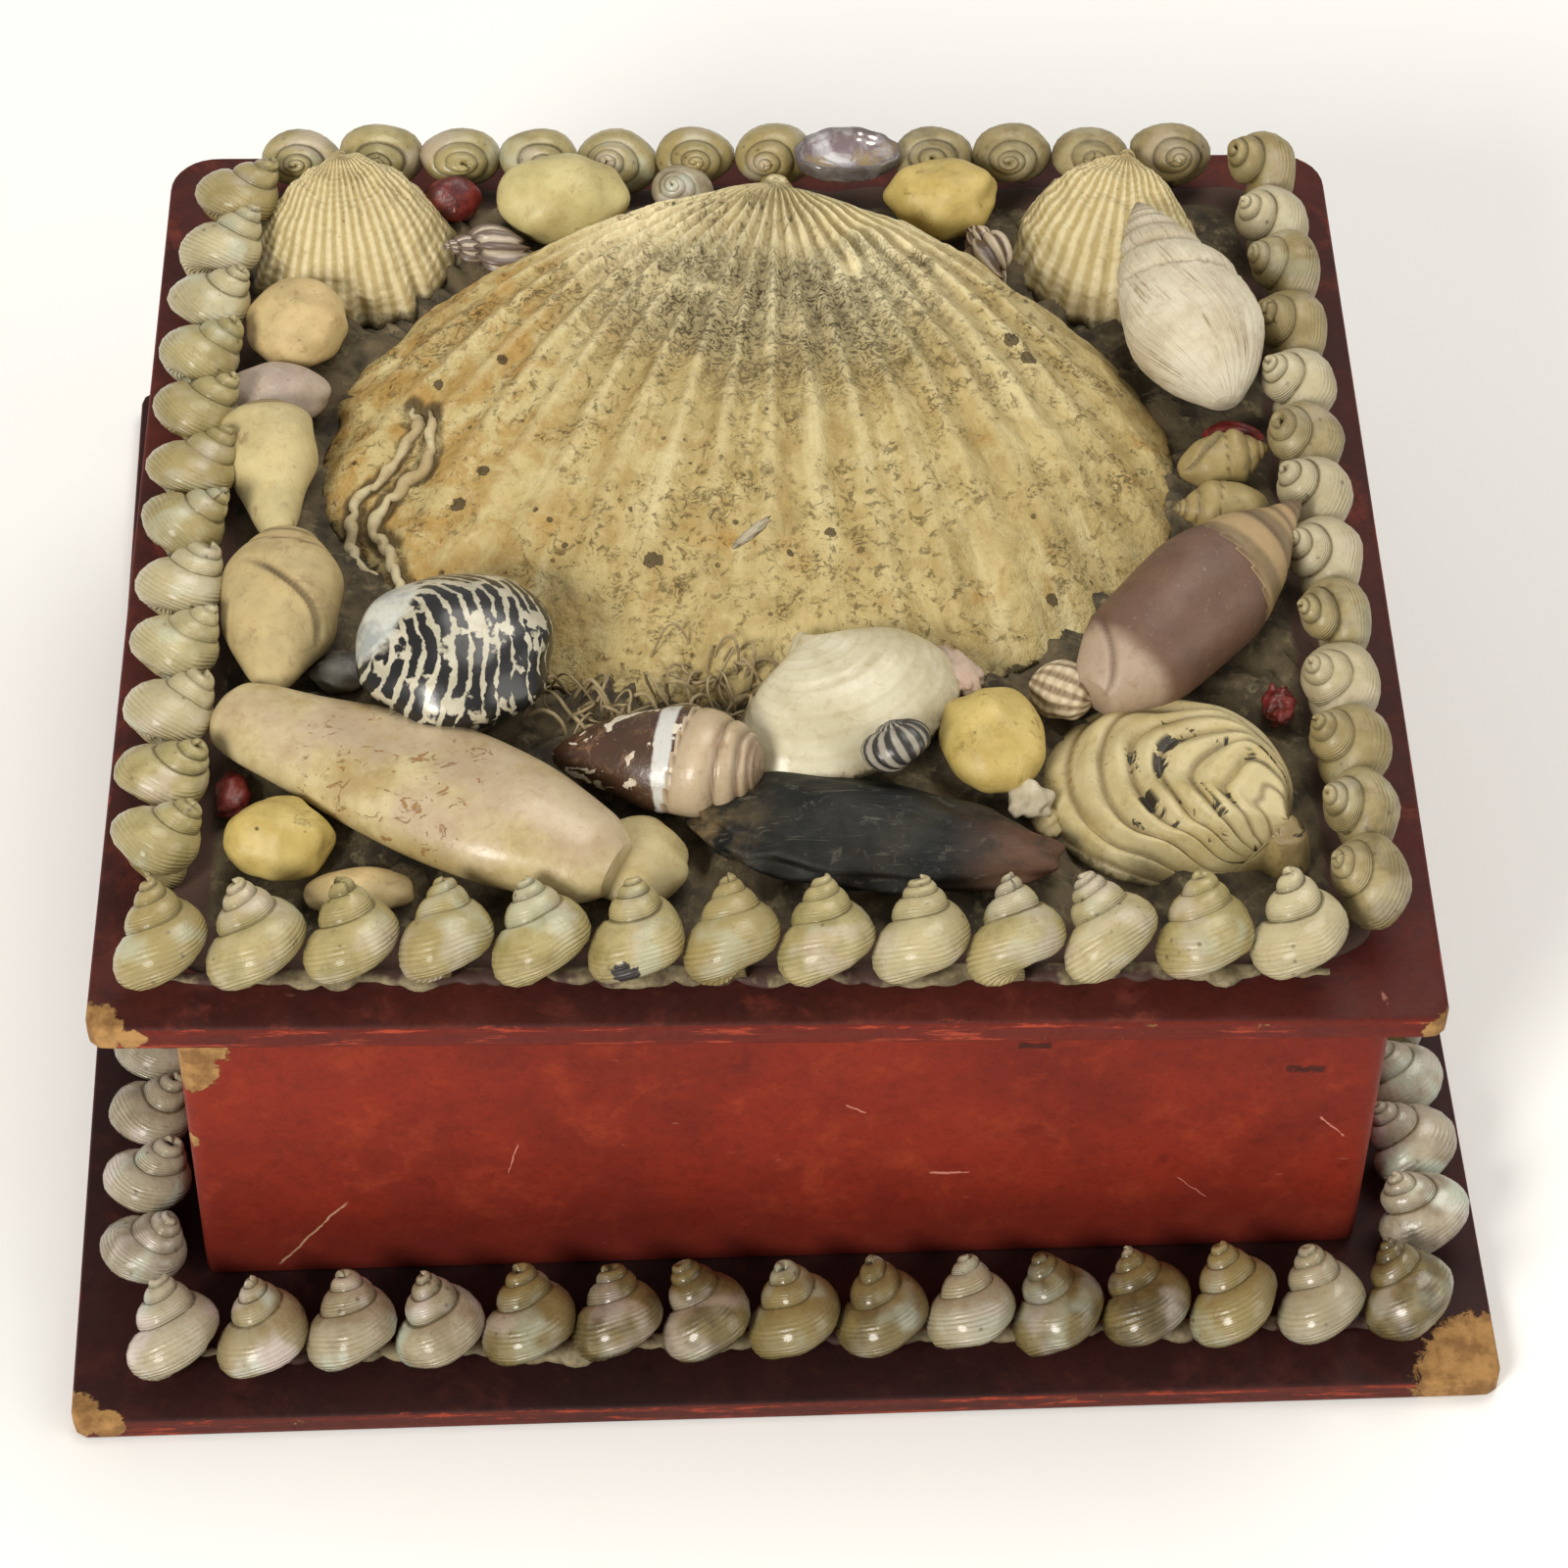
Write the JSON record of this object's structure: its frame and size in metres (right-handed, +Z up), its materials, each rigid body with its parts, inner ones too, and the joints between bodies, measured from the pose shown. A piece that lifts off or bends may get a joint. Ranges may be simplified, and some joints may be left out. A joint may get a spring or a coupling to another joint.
{
  "type": "shell box",
  "caption": "Card box covered in red paper, on a wider base board, under a lift-off lid set with a scallop, assorted sea shells and borders of small top shells.",
  "frame": {"origin": "middle of the base board's underside, on the surface the box stands on", "axes": "+Z up, -Y towards the front edge, below the open edge of the scallop; +X to the right seen from the front"},
  "size_m": [0.2, 0.208, 0.0886],
  "materials": {
    "dark_paper": "very dark maroon glazed paper over card, mottled, worn to red and tan at the edges",
    "red_paper": "brick red glazed paper over card, mottled, scratched, torn at one corner",
    "putty": "dull grey-brown setting compound",
    "top_shell": "greenish cream with pearly patches, fine spiral lines, dark sutures",
    "cream_shell": "satin cream with ochre stains",
    "white_shell": "satin chalk white",
    "yellow_shell": "glossy pale yellow",
    "mauve_shell": "glossy mauve-brown with a pinkish white lip",
    "zebra_shell": "glossy white with black dashes",
    "lilac_shell": "pearly lilac grey",
    "slate_shell": "satin blue-black",
    "brown_shell": "satin brown and white mottling",
    "red_seed": "glossy dark red"
  },
  "bodies": {
    "root": {"base_board": "dark_paper", "box_tray": "red_paper", "lid_board": "dark_paper", "lid_putty_bed": "putty", "lid_border_front": "top_shell", "lid_border_right": "top_shell", "lid_border_back_left": "top_shell", "lid_border_back_right": "top_shell", "lid_border_left": "top_shell", "white_whelk": "white_shell", "zebra_nerite": "zebra_shell", "white_tellin": "white_shell", "pearl_limpet": "lilac_shell", "large_olive": "mauve_shell", "mottled_cone": "brown_shell", "dark_periwinkle": "slate_shell", "left_drill": "brown_shell", "right_drill": "brown_shell", "small_turban": "top_shell", "cowrie_back_left": "yellow_shell", "cowrie_back_right": "yellow_shell", "cowrie_left": "yellow_shell", "cowrie_front_left": "yellow_shell", "cowrie_front_right": "yellow_shell", "ribbed_button": "white_shell", "lilac_shell": "lilac_shell", "pointed_conch": "cream_shell", "pear_cone": "cream_shell", "long_horn": "cream_shell", "venus_clam": "cream_shell", "left_cockle": "cream_shell", "right_cockle": "cream_shell", "upper_twin": "cream_shell", "lower_twin": "cream_shell", "black_mussel": "slate_shell", "scallop": "cream_shell", "horn_under": "cream_shell", "flat_pebble": "cream_shell", "tooth_shell": "white_shell", "slate_chip": "slate_shell", "red_seed_front": "red_seed", "red_seed_right": "red_seed", "red_seed_under_whelk": "red_seed", "red_bean_back": "red_seed", "base_border_front": "top_shell", "base_border_right": "top_shell", "base_border_back": "top_shell", "base_border_left": "top_shell"}
  },
  "joints": []
}
